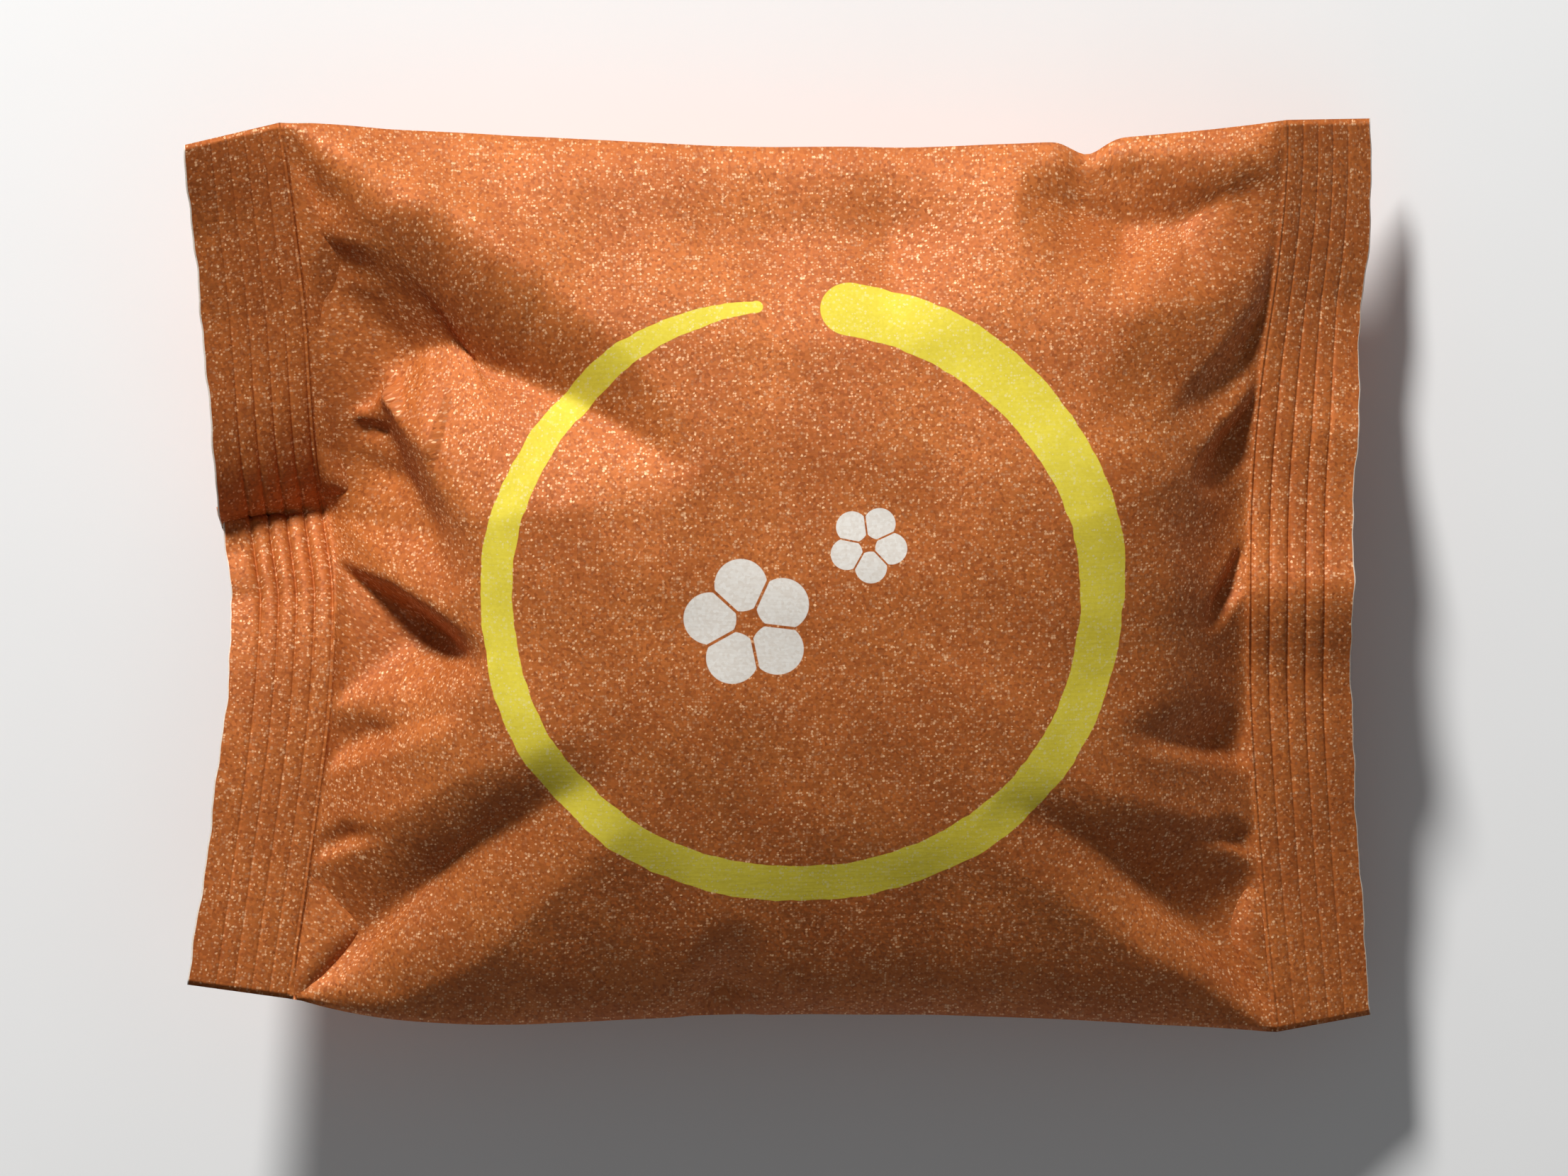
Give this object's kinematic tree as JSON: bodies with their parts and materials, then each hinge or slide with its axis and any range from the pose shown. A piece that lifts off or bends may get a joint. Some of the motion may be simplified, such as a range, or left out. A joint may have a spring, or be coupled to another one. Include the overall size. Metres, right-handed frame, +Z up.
{
  "type": "dorayaki in a sealed paper pillow pack",
  "caption": "Pillow pack of copper-coloured pearl paper with crimped end seals and a ring print, swollen by the round dorayaki sealed inside, lying on its back.",
  "frame": {"origin": "on the floor under the middle of the pack's outline", "axes": "+X along the pack from the left end seal to the right one, +Y towards the far long fold at the top of the print, +Z up out of the printed face"},
  "size_m": [0.1372, 0.106, 0.0305],
  "materials": {
    "copper_paper": "copper pearl print on paper, satin with fine pale flecks"
  },
  "bodies": {
    "root": {"dorayaki_pack": "copper_paper"}
  },
  "joints": []
}
